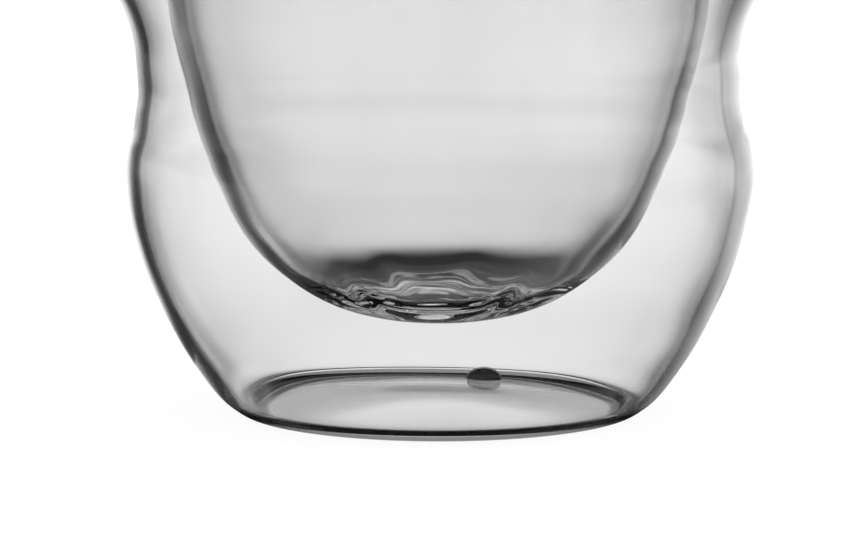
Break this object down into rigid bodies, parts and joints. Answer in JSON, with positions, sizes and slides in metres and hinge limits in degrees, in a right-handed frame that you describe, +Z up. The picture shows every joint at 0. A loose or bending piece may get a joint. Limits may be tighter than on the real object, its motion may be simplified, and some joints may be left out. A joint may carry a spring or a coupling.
{
  "type": "double walled glass cup",
  "caption": "Handleless double walled glass cup: a rounded inner bowl sealed at the lip inside a waisted outer shell with a hollow foot.",
  "frame": {"origin": "middle of the foot, on the surface that the cup stands on", "axes": "+Z up along the cup's axis; +X to the picture's right, +Y away from its camera"},
  "size_m": [0.0904, 0.0904, 0.095],
  "materials": {
    "shell_glass": "clear fire-polished blown borosilicate, faintly uneven wall",
    "bowl_glass": "clear fire-polished blown borosilicate, thick rippled bottom",
    "lip_glass": "clear fire-polished fused lip",
    "seal_glass": "clear glass melted into a smooth drop"
  },
  "bodies": {
    "root": {"outer_shell": "shell_glass", "inner_bowl": "bowl_glass", "rim_bead": "lip_glass", "vent_seal": "seal_glass"}
  },
  "joints": []
}
